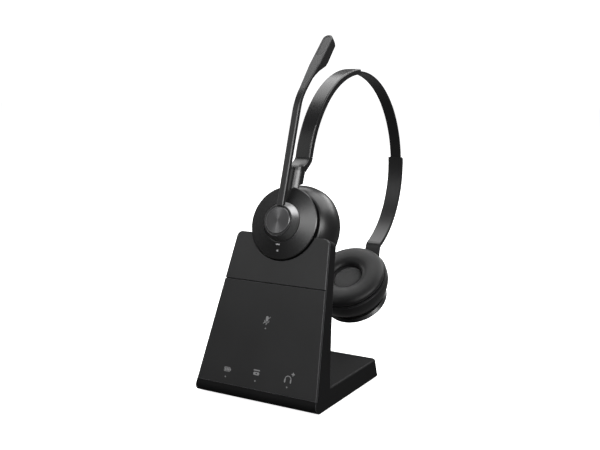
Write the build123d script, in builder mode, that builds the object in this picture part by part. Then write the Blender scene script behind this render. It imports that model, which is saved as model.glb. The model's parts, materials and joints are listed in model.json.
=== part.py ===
from build123d import *
import os
from math import cos, radians, sin, tan

# An on-ear stereo headset with a boom microphone, standing in its desk charging stand.
# Millimetres, +Z up, +X to the user's right, -Y towards the user.
# The origin is the centre of the stand's footprint, on the desk.

# ---------------------------------------------------------------- driving dimensions: stand
BASE_WIDTH = 100.0
BASE_DEPTH = 93.0
SIDE_DRAFT = 0.107            # each side leans in by this much per mm of height
PAD_HEIGHT = 1.3
FOOT_HEIGHT = 14.3
PLATE_LEAN = 20.4             # degrees, the front plate leans back
PLATE_OVERHANG = 7.6          # the plate's plane meets the desk this far in front of the base
PLATE_LENGTH = 121.1          # up the plate from the desk to the top edge
TOP_THICKNESS = 10.0
REAR_FOOT_Y = 17.2            # rear face of the tower, from the base's front line
REAR_MIDDLE = (29.0, 63.5)    # a point half way up the rear face: (from the front line, height)
PANEL_THICKNESS = 2.0
TOUCH_BOTTOM = 11.4           # up the plate
SEAM = 85.7
SEAM_GAP = 0.4
WALL = 2.2
CORNER_RADIUS = 4.5
NOTCH_RADIUS = 27.3
NOTCH_BACK = 32.8             # the notch widens behind the front panel
CRADLE_HEIGHT = 129.5         # up the plate, centre of the round notch

# ---------------------------------------------------------------- driving dimensions: headset
CUP_RADIUS = 26.5
CUP_PROUD = 1.8               # the disc's rim stands this far in front of the plate
DISC_THICKNESS = 3.0
PIVOT_DEPTH = 5.0             # the tilt pivot, behind the disc's rim plane
PUCK_FRONT = -7.0             # along the cup's axis, from the disc's rim plane, outwards positive
PUCK_BACK = -24.5
BACK_RADIUS = 32.3            # the puck swells towards the cushion
CUSHION_FRONT = -25.8
CUSHION_BACK = -32.2
CUSHION_HOLE = 12.0
ARCH_RADIUS = 83.8            # middle of the headband strip
ARCH_CENTRE = (99.5, 144.6)   # (y, z)
ARCH_MEET = 20.0              # degrees, where the right arc takes over
RIGHT_RADIUS = 72.2
STRIP_WIDTH = 9.5
STRIP_THICKNESS = 1.5
SLEEVE_WIDTH = 12.6
SLEEVE_OUTER = 2.6            # the sleeves' faces, from the middle of the strip
SLEEVE_INNER = -1.9
SLEEVE_EDGE = 1.2             # fillet along the sleeves' outer edges
SLEEVE_END = 2.0              # rounding of their free ends
SLIDE_GAP = 0.3
LEFT_SLEEVE = (90.0, 165.0)   # degrees about the arch centre
RIGHT_SLEEVE = (-65.8, 5.0)   # degrees about the right arc's centre
STRIP_ENDS = (118.0, -22.0)   # degrees, the hidden ends in the left and right sleeves
RIGHT_CUP = (106.4, 41.5)     # (y, z) of the right cup's axis at the disc's rim plane
RIGHT_CUP_ANGLE = -52.5       # degrees from +Y to the right cup's outward axis
BOOM_WIDTH = 5.2
BOOM_CHAMFER = 0.6
BOOM_BEND = (88.8, 12.35)     # (up, out) in the left cup's frame
BOOM_CANT = 2.0               # degrees outwards below the bend
BOOM_TURN = 25.2              # degrees inwards above the bend
MIC_WIDTH = 8.4
MIC_END = 66.0                # from the bend to the tip

# ---------------------------------------------------------------- frames
FRONT = -BASE_DEPTH / 2
LEAN = radians(PLATE_LEAN)
OUT = Vector(0, -cos(LEAN), sin(LEAN))
PLATE = Plane(origin=(0, FRONT - PLATE_OVERHANG, 0), x_dir=(1, 0, 0), z_dir=OUT)
PLATE_AXIS = Axis(PLATE.origin, PLATE.z_dir)
LEFT = Plane(
    origin=PLATE.from_local_coords((0, CRADLE_HEIGHT, CUP_PROUD)), x_dir=(1, 0, 0), z_dir=OUT
)


def direction(angle):
    """Unit vector in the YZ plane, at this many degrees from +Y towards +Z."""
    return Vector(0, cos(radians(angle)), sin(radians(angle)))


RIGHT = Plane(origin=(0, *RIGHT_CUP), x_dir=(-1, 0, 0), z_dir=direction(RIGHT_CUP_ANGLE))
ARCH = Vector(0, *ARCH_CENTRE)
RIGHT_ARCH = ARCH + direction(ARCH_MEET) * (ARCH_RADIUS - RIGHT_RADIUS)
BOOM_TOP = Plane(
    origin=LEFT.from_local_coords((0, *BOOM_BEND)),
    x_dir=(1, 0, 0),
    z_dir=LEFT.z_dir * cos(radians(BOOM_TURN)) + LEFT.y_dir * sin(radians(BOOM_TURN)),
)


def save(part, name):
    part.part.label = name
    export_step(part.part, f"parts/{name}.step")


def half_section(frame):
    """Plane through a cup's axis: local x is the radius, local y runs outwards along the axis."""
    return Plane(origin=frame.origin, x_dir=frame.x_dir, z_dir=-frame.y_dir)


def side_section(frame):
    """The X = 0 plane: local x runs up the frame, local y runs outwards."""
    return Plane(origin=frame.origin, x_dir=frame.y_dir, z_dir=frame.x_dir)


def across(frame, up, out=0.0):
    """Plane square to a cup's up direction: local x as the cup's, local y outwards."""
    origin = frame.from_local_coords((0, up, out))
    return Plane(origin=origin, x_dir=frame.x_dir, z_dir=-frame.y_dir)


def turned(frame, *profile):
    """A solid turned about a cup's axis from a closed (radius, outwards) profile."""
    with BuildPart() as part:
        with BuildSketch(half_section(frame)):
            with BuildLine():
                Polyline(*profile, close=True)
            make_face()
        revolve(axis=Axis(frame.origin, frame.z_dir))
    return part


def arc_bar(centre, radius, start, end, width, low, high, corner=0.0):
    """A bar bent about the X axis through centre: radial span low..high about radius."""
    section = Plane(origin=centre, x_dir=(1, 0, 0), z_dir=direction(start + 90))
    with BuildPart() as part:
        with BuildSketch(section):
            with Locations((0, radius + (low + high) / 2)):
                if corner:
                    RectangleRounded(width, high - low, corner)
                else:
                    Rectangle(width, high - low)
        revolve(axis=Axis(centre, (1, 0, 0)), revolution_arc=end - start)
    return part


def half_width(height):
    """Half the stand's width at this height."""
    return BASE_WIDTH / 2 - SIDE_DRAFT * height


def plate_point(up, out=0.0):
    """(y, z) of a point on the X = 0 line of the plate."""
    point = PLATE.from_local_coords((0, up, out))
    return point.Y, point.Z


def front_outline(inset=0.0, top=140.0):
    """Corners of the stand's front outline on the XZ plane, inset from its sides."""
    low = half_width(0) - inset
    high = half_width(top) - inset
    return [(-low, 0), (low, 0), (high, top), (-high, top)]


# ================================================================ stand
REAR_BOTTOM = (BASE_DEPTH / 2 - 0.2, PAD_HEIGHT)
REAR_TOP = (BASE_DEPTH / 2 - 2.0, FOOT_HEIGHT)
TOP_FRONT = plate_point(PLATE_LENGTH)
TOP_REAR = plate_point(PLATE_LENGTH, -TOP_THICKNESS)
PLATE_FOOT = plate_point(PAD_HEIGHT / cos(LEAN))
TOWER_FOOT = (FRONT + REAR_FOOT_Y, FOOT_HEIGHT)
TOWER_MIDDLE = (FRONT + REAR_MIDDLE[0], REAR_MIDDLE[1])

# Inner space of the tower and foot, open at the bottom.
CAVITY_TOP = 80.0
CAVITY_FRONT = FRONT + 3.0
FRONT_WALL = 5.0
CEILING = FOOT_HEIGHT - WALL
INNER_FRONT_Y = PLATE.origin.Y + FRONT_WALL / cos(LEAN)
with BuildPart() as cavity:
    with BuildSketch(Plane.YZ):
        with BuildLine():
            Polyline(
                (CAVITY_FRONT, 0),
                (CAVITY_FRONT, (CAVITY_FRONT - INNER_FRONT_Y) / tan(LEAN)),
                (INNER_FRONT_Y + CAVITY_TOP * tan(LEAN), CAVITY_TOP),
                (INNER_FRONT_Y + CAVITY_TOP * tan(LEAN) + 3.0, CAVITY_TOP),
                (TOWER_FOOT[0] - WALL - 0.6, CEILING),
                (REAR_TOP[0] - WALL, CEILING),
                (REAR_BOTTOM[0] - WALL - 0.4, 0),
                close=True,
            )
        make_face()
    extrude(amount=BASE_WIDTH, both=True)
    with BuildSketch(Plane.XZ):
        with BuildLine():
            Polyline(*front_outline(WALL), close=True)
        make_face()
    extrude(amount=BASE_WIDTH, both=True, mode=Mode.INTERSECT)

SCREW_PLACES = [(36.0, -34.0), (-36.0, -34.0), (36.0, 34.0), (-36.0, 34.0)]
BOSS_RADIUS = 3.6
SCREW_RADIUS = 1.3
HEAD_RADIUS = 2.4
BASE_PLATE_TOP = PAD_HEIGHT + 2.0
USB_SIZE = (9.0, 3.2)
USB_PLACES = [-24.0, -6.0]
PHONE_X = 18.0
PHONE_SIZE = (9.4, 5.6)
IO_BOARD_TOP = BASE_PLATE_TOP + 1.3
PIN_X = 4.0
PIN_AXIAL = -10.0
PIN_BLOCK = (14.0, 4.0, 6.0)
BLOCK_TOP = -30.4             # up the left cup, and the pins stand above it
TOUCH_BOARD_SIZE = (68.0, 62.0)
TOUCH_BOARD_UP = 48.0

with BuildPart() as stand_shell:
    with BuildSketch(Plane.YZ):
        with BuildLine():
            Polyline(PLATE_FOOT, TOP_FRONT, TOP_REAR)
            ThreePointArc(TOP_REAR, TOWER_MIDDLE, TOWER_FOOT)
            Polyline(TOWER_FOOT, REAR_TOP, REAR_BOTTOM, PLATE_FOOT)
        make_face()
    extrude(amount=BASE_WIDTH, both=True)
    with BuildSketch(Plane.XZ):
        with BuildLine():
            Polyline(*front_outline(), close=True)
        make_face()
    extrude(amount=BASE_WIDTH, both=True, mode=Mode.INTERSECT)
    fillet(stand_shell.edges().filter_by(Axis.X).sort_by(Axis.Y)[0], 5.0)
    upright = [e for e in stand_shell.edges() if e.center().Y > REAR_TOP[0] - 1 and abs(e.center().X) > 40]
    fillet([e for e in upright if 3 < e.center().Z < FOOT_HEIGHT - 1], 3.8)
    top_corners = stand_shell.edges().group_by(Axis.Z)[-2]
    fillet(top_corners.filter_by(lambda e: abs(e.center().X) > 30), CORNER_RADIUS)
    rear_rim = stand_shell.edges().filter_by_position(Axis.Z, FOOT_HEIGHT - 0.01, FOOT_HEIGHT + 0.01)
    chamfer(rear_rim.filter_by(lambda e: e.center().Y > TOWER_FOOT[0] + 1), 0.6)
    add(cavity.part, mode=Mode.SUBTRACT)
    # The front panels lie in a shallow recess over the whole front.
    with BuildSketch(PLATE):
        with Locations((0, TOUCH_BOTTOM + PLATE_LENGTH / 2)):
            Rectangle(BASE_WIDTH * 2, PLATE_LENGTH)
    extrude(amount=-PANEL_THICKNESS, mode=Mode.SUBTRACT)
    # Round cradle for the left cup, open at the top, and a bed for its contact block.
    with BuildSketch(half_section(LEFT)):
        with BuildLine():
            Polyline(
                (0, 5),
                (NOTCH_RADIUS, 5),
                (NOTCH_RADIUS, -3),
                (NOTCH_BACK, -13.5),
                (NOTCH_BACK, -40),
                (0, -40),
                close=True,
            )
        make_face()
    revolve(axis=Axis(LEFT.origin, LEFT.z_dir), mode=Mode.SUBTRACT)
    with BuildSketch(LEFT.offset(PIN_AXIAL)):
        with Locations((0, BLOCK_TOP - PIN_BLOCK[2] / 2 + 0.4)):
            Rectangle(PIN_BLOCK[0], PIN_BLOCK[2] + 1.0)
    extrude(amount=PIN_BLOCK[1] / 2, both=True, mode=Mode.SUBTRACT)
    # Bed for the touch sensor board.
    with BuildSketch(PLATE.offset(-PANEL_THICKNESS)):
        with Locations((0, TOUCH_BOARD_UP)):
            Rectangle(TOUCH_BOARD_SIZE[0] + 0.6, TOUCH_BOARD_SIZE[1] + 0.6)
    extrude(amount=-1.0, mode=Mode.SUBTRACT)
    # Bosses for the base screws.
    with BuildSketch(Plane.XY.offset(BASE_PLATE_TOP)):
        with Locations(*SCREW_PLACES):
            Circle(BOSS_RADIUS)
            Circle(SCREW_RADIUS, mode=Mode.SUBTRACT)
    extrude(amount=CEILING - BASE_PLATE_TOP + 0.2)
    # Openings for the sockets in the foot's rear wall.
    with BuildSketch(Plane.XZ.offset(-BASE_DEPTH / 2 - 5)):
        for x in USB_PLACES:
            with Locations((x, IO_BOARD_TOP + USB_SIZE[1] / 2 + 0.4)):
                RectangleRounded(USB_SIZE[0] + 0.8, USB_SIZE[1] + 0.8, 1.2)
        with Locations((PHONE_X, IO_BOARD_TOP + PHONE_SIZE[1] / 2 + 0.6)):
            Rectangle(PHONE_SIZE[0], PHONE_SIZE[1])
    extrude(amount=9, mode=Mode.SUBTRACT)
save(stand_shell, "stand_shell")

# Front panels: the satin fascia with the notch, and the touch panel below the seam.
PANEL_DRAFT = SIDE_DRAFT * cos(LEAN)


def panel_outline(low, high):
    """Corners of a front panel between two distances up the plate."""
    wide = BASE_WIDTH / 2 - PANEL_DRAFT * low
    narrow = BASE_WIDTH / 2 - PANEL_DRAFT * high
    return [(-wide, low), (wide, low), (narrow, high), (-narrow, high)]


with BuildPart() as upper_fascia:
    with BuildSketch(PLATE.offset(-PANEL_THICKNESS)) as fascia_face:
        with BuildLine():
            Polyline(*panel_outline(SEAM + SEAM_GAP / 2, PLATE_LENGTH), close=True)
        make_face()
        fillet(fascia_face.vertices().group_by(Axis.Y)[-1], CORNER_RADIUS)
        with Locations((0, CRADLE_HEIGHT)):
            Circle(NOTCH_RADIUS, mode=Mode.SUBTRACT)
    extrude(amount=PANEL_THICKNESS)
    chamfer(upper_fascia.faces().filter_by(PLATE_AXIS).sort_by(PLATE_AXIS)[-1].edges(), 0.3)
save(upper_fascia, "upper_fascia")

with BuildPart() as touch_panel:
    with BuildSketch(PLATE.offset(-PANEL_THICKNESS)):
        with BuildLine():
            Polyline(*panel_outline(TOUCH_BOTTOM, SEAM - SEAM_GAP / 2), close=True)
        make_face()
    extrude(amount=PANEL_THICKNESS)
    chamfer(touch_panel.faces().filter_by(PLATE_AXIS).sort_by(PLATE_AXIS)[-1].edges(), 0.25)
save(touch_panel, "touch_panel")

# Printed symbols with a light dot under each: mute, battery, desk phone and headset pairing.
PRINT_LIFT = 0.01
PRINT_THICKNESS = 0.07
DOT_RADIUS = 0.55
MUTE_AT = (0.0, 59.7)
BATTERY_AT = (-25.0, 21.4)
PHONE_AT = (-0.7, 23.2)
PAIR_AT = (24.9, 22.4)
PLUS_AT = (28.3, 26.3)
DOTS_AT = [(0.0, 53.9), (-25.4, 16.1), (-0.7, 17.1), (25.0, 17.1)]
with BuildPart() as touch_icons:
    with BuildSketch(PLATE.offset(PRINT_LIFT)):
        # Rings first, each cut to a half circle.
        with Locations(MUTE_AT):
            Circle(2.2)
            Circle(1.75, mode=Mode.SUBTRACT)
            with Locations((0, 1.5)):
                Rectangle(5, 3.0, mode=Mode.SUBTRACT)
        with Locations(PAIR_AT):
            Circle(2.6)
            Circle(2.05, mode=Mode.SUBTRACT)
            with Locations((0, -1.6)):
                Rectangle(6, 3.2, mode=Mode.SUBTRACT)
        with Locations(MUTE_AT):
            with Locations((0, 1.0)):
                SlotOverall(3.9, 2.1, rotation=90)
            with Locations((0, -2.7)):
                Rectangle(0.5, 1.4)
            Rectangle(0.5, 7.4, rotation=-45)
        with Locations(BATTERY_AT):
            RectangleRounded(5.0, 3.2, 0.6)
            Rectangle(4.2, 2.4, mode=Mode.SUBTRACT)
            with Locations((-1.3, 0), (0, 0), (1.3, 0)):
                Rectangle(0.95, 1.9)
            with Locations((2.8, 0)):
                Rectangle(0.7, 1.4)
        with Locations(PHONE_AT):
            with Locations((0, -1.0)):
                RectangleRounded(4.8, 2.2, 0.8)
                Circle(0.6, mode=Mode.SUBTRACT)
            with Locations((0, 1.3)):
                SlotOverall(5.2, 0.9)
        with Locations(PAIR_AT):
            with Locations((-2.3, -1.1), (2.3, -1.1)):
                SlotOverall(2.6, 1.1, rotation=90)
        with Locations(PLUS_AT):
            Rectangle(2.5, 0.75)
            Rectangle(0.75, 2.5)
        with Locations(*DOTS_AT):
            Circle(DOT_RADIUS)
    extrude(amount=PRINT_THICKNESS)
save(touch_icons, "touch_icons")

with BuildPart() as touch_board:
    with BuildSketch(PLATE.offset(-PANEL_THICKNESS - 0.9)):
        with Locations((0, TOUCH_BOARD_UP)):
            RectangleRounded(*TOUCH_BOARD_SIZE, 2.0)
    extrude(amount=0.8)
save(touch_board, "touch_board")

with BuildPart() as base_plate:
    with BuildSketch(Plane.XY.offset(PAD_HEIGHT)):
        plate_depth = REAR_BOTTOM[0] - WALL - 1.3 - CAVITY_FRONT
        with Locations((0, CAVITY_FRONT + 0.2 + plate_depth / 2)):
            Rectangle(2 * (half_width(0) - WALL - 0.5), plate_depth)
        with Locations(*SCREW_PLACES):
            Circle(SCREW_RADIUS + 0.2, mode=Mode.SUBTRACT)
    extrude(amount=BASE_PLATE_TOP - PAD_HEIGHT)
    with BuildSketch(Plane.XY.offset(PAD_HEIGHT)):
        with Locations(*SCREW_PLACES):
            Circle(HEAD_RADIUS + 0.2)
    extrude(amount=1.0, mode=Mode.SUBTRACT)
save(base_plate, "base_plate")

PAD_SIZE = (86.0, 85.0)
with BuildPart() as rubber_pad:
    with BuildSketch(Plane.XY):
        with Locations((0, 0.5)):
            RectangleRounded(*PAD_SIZE, 5.0)
        with Locations(*SCREW_PLACES):
            Circle(HEAD_RADIUS + 0.5, mode=Mode.SUBTRACT)
    extrude(amount=PAD_HEIGHT)
save(rubber_pad, "rubber_pad")

with BuildPart() as base_screws:
    with BuildSketch(Plane.XY.offset(PAD_HEIGHT + 0.1)):
        with Locations(*SCREW_PLACES):
            Circle(HEAD_RADIUS)
    extrude(amount=0.85)
    with BuildSketch(Plane.XY.offset(PAD_HEIGHT + 0.9)):
        with Locations(*SCREW_PLACES):
            Circle(SCREW_RADIUS - 0.1)
    extrude(amount=7.0)
    with BuildSketch(Plane.XY.offset(PAD_HEIGHT + 0.1)):
        with Locations(*SCREW_PLACES):
            Rectangle(2.8, 0.7)
            Rectangle(0.7, 2.8)
    extrude(amount=0.5, mode=Mode.SUBTRACT)
save(base_screws, "base_screws")

BALLAST_SIZE = (56.0, 46.0, 6.0)
with BuildPart() as ballast_weight:
    with BuildSketch(Plane.XY.offset(BASE_PLATE_TOP + 0.1)):
        with Locations((0, -4.0)):
            RectangleRounded(BALLAST_SIZE[0], BALLAST_SIZE[1], 3.0)
    extrude(amount=BALLAST_SIZE[2])
save(ballast_weight, "ballast_weight")

BOARD_SIZE = (64.0, 46.0)
with BuildPart() as main_board:
    with BuildSketch(PLATE.offset(-FRONT_WALL - 1.6)):
        with Locations((0, 44.0)):
            RectangleRounded(*BOARD_SIZE, 2.0)
    extrude(amount=1.2)
    with BuildSketch(PLATE.offset(-FRONT_WALL - 1.6)):
        with Locations((-14, 40), (12, 34)):
            Rectangle(12, 12)
        with Locations((14, 52)):
            Rectangle(16, 5)
    extrude(amount=-1.2)
save(main_board, "main_board")

with BuildPart() as radio_antenna:
    with BuildSketch(PLATE.offset(-FRONT_WALL - 1.4)):
        with Locations((0, 71.0)):
            RectangleRounded(40.0, 4.0, 1.0)
    extrude(amount=0.5)
save(radio_antenna, "radio_antenna")

IO_BOARD_Y = 32.0
with BuildPart() as io_board:
    with BuildSketch(Plane.XY.offset(BASE_PLATE_TOP + 0.1)):
        with Locations((-3.0, IO_BOARD_Y)):
            Rectangle(58.0, 15.0)
    extrude(amount=1.2)
save(io_board, "io_board")

SOCKET_BACK = BASE_DEPTH / 2 - 4.5
with BuildPart() as usb_sockets:
    with BuildSketch(Plane.XZ.offset(-SOCKET_BACK)):
        for x in USB_PLACES:
            with Locations((x, IO_BOARD_TOP + USB_SIZE[1] / 2 + 0.4)):
                RectangleRounded(USB_SIZE[0], USB_SIZE[1], 1.3)
                RectangleRounded(USB_SIZE[0] - 0.7, USB_SIZE[1] - 0.7, 1.0, mode=Mode.SUBTRACT)
    extrude(amount=7.0)
    with BuildSketch(Plane.XZ.offset(-SOCKET_BACK + 6.4)):
        for x in USB_PLACES:
            with Locations((x, IO_BOARD_TOP + USB_SIZE[1] / 2 + 0.4)):
                RectangleRounded(USB_SIZE[0], USB_SIZE[1], 1.3)
    extrude(amount=0.6)
    with BuildSketch(Plane.XZ.offset(-SOCKET_BACK + 1.5)):
        for x in USB_PLACES:
            with Locations((x, IO_BOARD_TOP + USB_SIZE[1] / 2 + 0.4)):
                Rectangle(6.4, 0.7)
    extrude(amount=5.2)
save(usb_sockets, "usb_sockets")

with BuildPart() as phone_socket:
    with BuildSketch(Plane.XZ.offset(-SOCKET_BACK)):
        with Locations((PHONE_X, IO_BOARD_TOP + PHONE_SIZE[1] / 2 + 0.6)):
            Rectangle(PHONE_SIZE[0] + 1.6, PHONE_SIZE[1] + 1.2)
            Rectangle(PHONE_SIZE[0], PHONE_SIZE[1], mode=Mode.SUBTRACT)
    extrude(amount=10.0)
    with BuildSketch(Plane.XZ.offset(-SOCKET_BACK + 9.0)):
        with Locations((PHONE_X, IO_BOARD_TOP + PHONE_SIZE[1] / 2 + 0.6)):
            Rectangle(PHONE_SIZE[0] + 1.6, PHONE_SIZE[1] + 1.2)
    extrude(amount=1.0)
save(phone_socket, "phone_socket")

with BuildPart() as ringer_speaker:
    with BuildSketch(Plane.XY.offset(BASE_PLATE_TOP + 0.1)):
        with Locations((0, -37.0)):
            SlotOverall(40.0, 11.0)
    extrude(amount=4.5)
save(ringer_speaker, "ringer_speaker")

# Charging contacts in the floor of the cradle: an insulating block and two sprung pins.
PIN_RADIUS = 0.9
PIN_TOP = -28.1
with BuildPart() as contact_block:
    with BuildSketch(LEFT.offset(PIN_AXIAL)):
        with Locations((0, BLOCK_TOP - PIN_BLOCK[2] / 2)):
            Rectangle(PIN_BLOCK[0] - 0.2, PIN_BLOCK[2])
    extrude(amount=PIN_BLOCK[1] / 2 - 0.1, both=True)
    with BuildSketch(across(LEFT, -20, PIN_AXIAL)):
        with Locations((PIN_X, 0), (-PIN_X, 0)):
            Circle(PIN_RADIUS + 0.06)
    extrude(amount=25, mode=Mode.SUBTRACT)
save(contact_block, "contact_block")

with BuildPart() as contact_pins:
    with BuildSketch(across(LEFT, PIN_TOP, PIN_AXIAL)):
        with Locations((PIN_X, 0), (-PIN_X, 0)):
            Circle(PIN_RADIUS)
    extrude(amount=4.6)
    fillet(contact_pins.edges().filter_by(GeomType.CIRCLE).group_by(Axis(LEFT.origin, LEFT.y_dir))[-1], 0.5)
save(contact_pins, "contact_pins")

# ================================================================ cups, the same for both sides
HUB_RADIUS = 14.3
HUB_BASE = 2.7
POST_RADIUS = 8.0
POST_BORE = 7.0
RIM_INNER = CUP_RADIUS - 3.1
BACK_TOP = -1.5               # inner face of the disc's back plate
STEM_HALF = SLEEVE_WIDTH / 2
STEM_MIDDLE = -5.4            # outwards, the widest line of the half-round stem
STEM_RISE = 6.0
STEM_BACK = -6.6
STEM_CLEAR = 30.5             # up the disc, where the stem's back passes the puck
STEM_START = 16.5             # up the disc, where the stem rises out of the cone
STEM_END = 39.0
LUG_NEAR = 5.9
LUG_FAR = 7.9
LUG_RADIUS = 1.9
CROSS_RADIUS = 1.0
CROSS_FIT = 0.06
DISH_RADIUS = 12.0
PUCK_WALL = 1.6
SIDE_RADIUS = 30.9            # a point on the puck's rounded side
SIDE_LEVEL = -14.5
PAD_RADIUS = 1.3              # charging pads under the left puck
PAD_UP = -27.4                # floor of their recesses
PUCK_DISH = -9.4
LENS_UP = -20.5              # a status light low on the left disc, and a bar above it
BAR_UP = -16.2


def disc_cover(name, frame, lights):
    """Front shell of the outer disc, with its half-round stem."""
    bore = POST_RADIUS + 0.2
    inner = [(RIM_INNER, -1.3), (HUB_RADIUS, 0.8), (bore, 0.8)]
    with BuildPart() as part:
        with BuildSketch(half_section(frame)):
            with BuildLine():
                Polyline(
                    (bore, 2.2),
                    (HUB_RADIUS + 0.4, 2.2),
                    (HUB_RADIUS + 0.4, HUB_BASE),
                    (CUP_RADIUS - 0.5, 0.05),
                    (CUP_RADIUS, -0.4),
                    (CUP_RADIUS - 0.2, -0.9),
                    (CUP_RADIUS - 1.9, -DISC_THICKNESS),
                    (RIM_INNER, -DISC_THICKNESS),
                    *inner,
                    close=True,
                )
            make_face()
        revolve(axis=Axis(frame.origin, frame.z_dir))
        with BuildSketch(across(frame, STEM_START)):
            with Locations((0, STEM_MIDDLE)):
                Ellipse(STEM_HALF, STEM_RISE)
                with Locations((0, -STEM_RISE)):
                    Rectangle(3 * STEM_HALF, 2 * STEM_RISE, mode=Mode.SUBTRACT)
            with Locations((0, (STEM_MIDDLE + STEM_BACK) / 2)):
                Rectangle(2 * STEM_HALF, STEM_MIDDLE - STEM_BACK)
        extrude(amount=STEM_START - STEM_END)
        with BuildSketch(side_section(frame)):
            with BuildLine():
                Polyline(
                    (0, -DISC_THICKNESS),
                    (STEM_CLEAR - 2.0, -DISC_THICKNESS),
                    (STEM_CLEAR, STEM_BACK - 0.1),
                    (0, STEM_BACK - 0.1),
                    close=True,
                )
            make_face()
        extrude(amount=2 * STEM_HALF, both=True, mode=Mode.SUBTRACT)
        with BuildSketch(half_section(frame)):
            with BuildLine():
                Polyline((bore, -9), (RIM_INNER, -9), *inner, close=True)
            make_face()
        revolve(axis=Axis(frame.origin, frame.z_dir), mode=Mode.SUBTRACT)
        if lights:
            with BuildSketch(frame.offset(-5)):
                with Locations((0, LENS_UP)):
                    Circle(0.85)
                with Locations((0, BAR_UP)):
                    SlotOverall(3.5, 1.1)
            extrude(amount=10, mode=Mode.SUBTRACT)
    save(part, name)


def disc_back(name, frame):
    """Back plate of the outer disc, with the two lugs that hold the pivot's upright pin."""
    with BuildPart() as part:
        with BuildSketch(half_section(frame)):
            with BuildLine():
                Polyline(
                    (0, BACK_TOP),
                    (RIM_INNER - 0.15, BACK_TOP),
                    (RIM_INNER - 0.15, -DISC_THICKNESS),
                    (DISH_RADIUS, -DISC_THICKNESS),
                    (DISH_RADIUS - 0.8, -DISC_THICKNESS + 0.8),
                    (0, -DISC_THICKNESS + 0.8),
                    close=True,
                )
            make_face()
        revolve(axis=Axis(frame.origin, frame.z_dir))
        for up in (LUG_NEAR, -LUG_FAR):
            with BuildSketch(across(frame, up)):
                with Locations((0, -PIVOT_DEPTH)):
                    Circle(LUG_RADIUS)
                with Locations((0, -PIVOT_DEPTH / 2 - 1.0)):
                    Rectangle(2 * LUG_RADIUS, PIVOT_DEPTH - 2.0)
                with Locations((0, -PIVOT_DEPTH)):
                    Circle(CROSS_RADIUS + CROSS_FIT, mode=Mode.SUBTRACT)
            extrude(amount=LUG_NEAR - LUG_FAR)
    save(part, name)


def pivot_cross(name, frame):
    """Cross-shaped pivot between a disc and its puck: one pin across, one pin upright."""
    centre = frame.from_local_coords((0, 0, -PIVOT_DEPTH))
    with BuildPart() as part:
        for turn_axis in (frame.x_dir, frame.y_dir):
            with BuildSketch(Plane(origin=centre, z_dir=turn_axis)):
                Circle(CROSS_RADIUS)
            extrude(amount=LUG_FAR, both=True)
            with BuildSketch(Plane(origin=centre, z_dir=turn_axis)):
                Circle(2.2)
            extrude(amount=LUG_NEAR - 1.0, both=True)
    save(part, name)


def puck_shell(name, frame, pads):
    """Cup-shaped housing behind the disc, open towards the cushion."""
    with BuildPart() as part:
        with BuildSketch(half_section(frame)):
            with BuildLine():
                Polyline(
                    (0, PUCK_DISH),
                    (DISH_RADIUS, PUCK_DISH),
                    (DISH_RADIUS, PUCK_FRONT),
                    (CUP_RADIUS - 1.0, PUCK_FRONT),
                    (CUP_RADIUS, PUCK_FRONT - 0.8),
                )
                ThreePointArc(
                    (CUP_RADIUS, PUCK_FRONT - 0.8),
                    (SIDE_RADIUS, SIDE_LEVEL),
                    (BACK_RADIUS, PUCK_BACK),
                )
                Polyline(
                    (BACK_RADIUS, PUCK_BACK),
                    (BACK_RADIUS - PUCK_WALL, PUCK_BACK),
                    (SIDE_RADIUS - PUCK_WALL - 0.2, SIDE_LEVEL - 0.4),
                    (CUP_RADIUS - PUCK_WALL - 0.4, PUCK_FRONT - 2.0),
                    (DISH_RADIUS + 1.4, PUCK_FRONT - 2.0),
                    (DISH_RADIUS + 1.4, PUCK_DISH - 1.4),
                    (0, PUCK_DISH - 1.4),
                    (0, PUCK_DISH),
                )
            make_face()
        revolve(axis=Axis(frame.origin, frame.z_dir))
        for side in (LUG_NEAR, -LUG_FAR):
            origin = frame.from_local_coords((side, 0, 0))
            with BuildSketch(Plane(origin=origin, x_dir=frame.y_dir, z_dir=frame.x_dir)):
                with Locations((0, -PIVOT_DEPTH)):
                    Circle(LUG_RADIUS)
                with Locations((0, (PUCK_DISH - PIVOT_DEPTH) / 2)):
                    Rectangle(2 * LUG_RADIUS, -PUCK_DISH - PIVOT_DEPTH)
                with Locations((0, -PIVOT_DEPTH)):
                    Circle(CROSS_RADIUS + CROSS_FIT, mode=Mode.SUBTRACT)
            extrude(amount=LUG_FAR - LUG_NEAR)
        if pads:
            with BuildSketch(across(frame, PAD_UP, PIN_AXIAL)):
                with Locations((PIN_X, 0), (-PIN_X, 0)):
                    Circle(PAD_RADIUS)
            extrude(amount=5.0, mode=Mode.SUBTRACT)
    save(part, name)


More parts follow.
